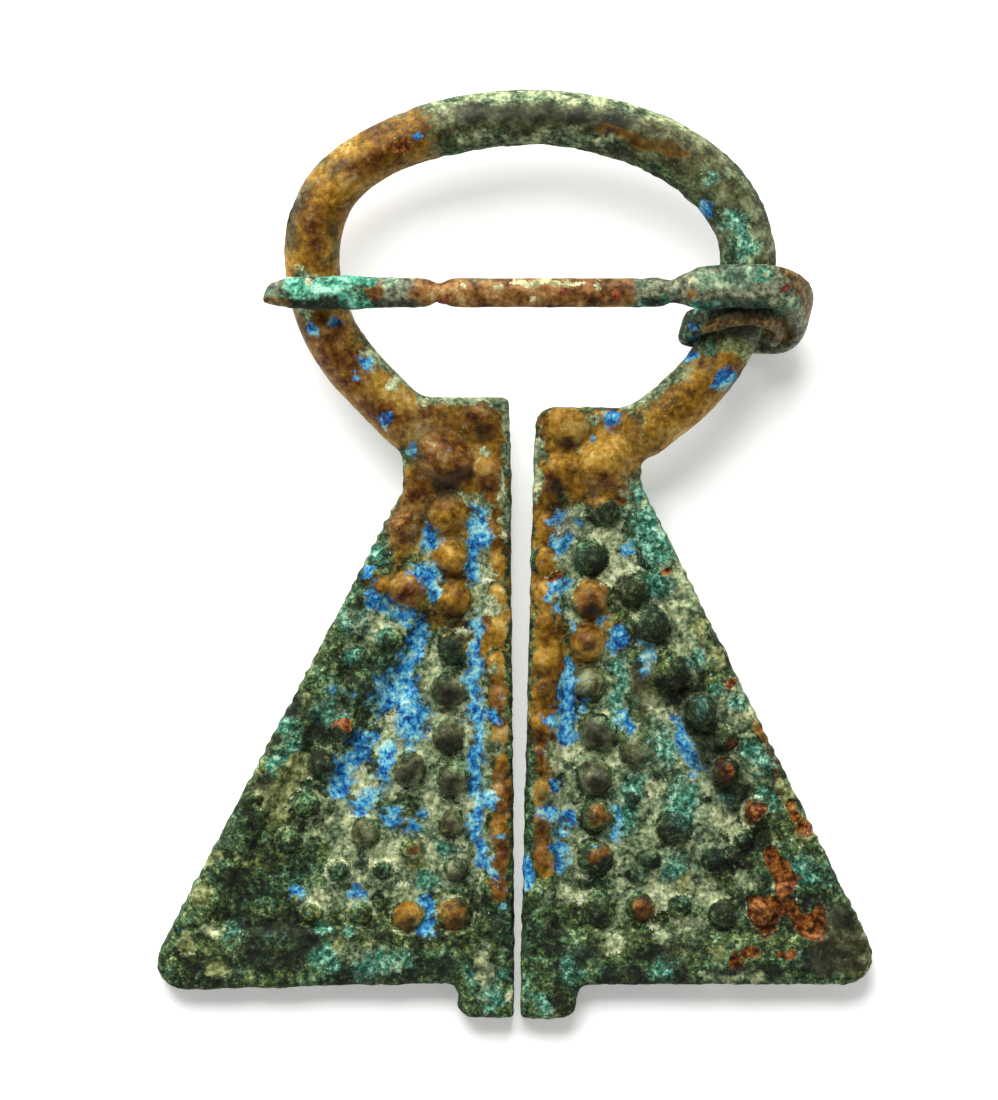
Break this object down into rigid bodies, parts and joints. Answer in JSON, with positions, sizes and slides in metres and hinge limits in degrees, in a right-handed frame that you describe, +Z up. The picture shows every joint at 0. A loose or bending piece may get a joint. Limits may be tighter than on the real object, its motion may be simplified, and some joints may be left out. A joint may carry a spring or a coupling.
{
  "type": "penannular brooch",
  "caption": "Bronze penannular brooch: an oval hoop ending in triangular plates, with a coiled pin that pierces cloth and closes it.",
  "frame": {"origin": "middle of the brooch's box, on the surface that it lies on", "axes": "+Z up, out of the brooch's face; +Y from the plates towards the hoop; +X to the right, towards the pin's coil"},
  "size_m": [0.0508, 0.0658, 0.0089],
  "materials": {
    "cast_bronze": "corroded bronze with green and blue patina",
    "pin_bronze": "corroded wrought bronze with green patina"
  },
  "bodies": {
    "brooch_body": {"hoop_and_plates": "cast_bronze"},
    "pin_body": {"pin": "pin_bronze"}
  },
  "joints": [
    {"name": "pin_hinge", "type": "hinge", "parent": "brooch_body", "child": "pin_body", "pos_m": [0.01597, 0.01752, 0.0043], "axis": [0.2653, 0.9628, 0.0514], "range_deg": [0, 170]}
  ]
}
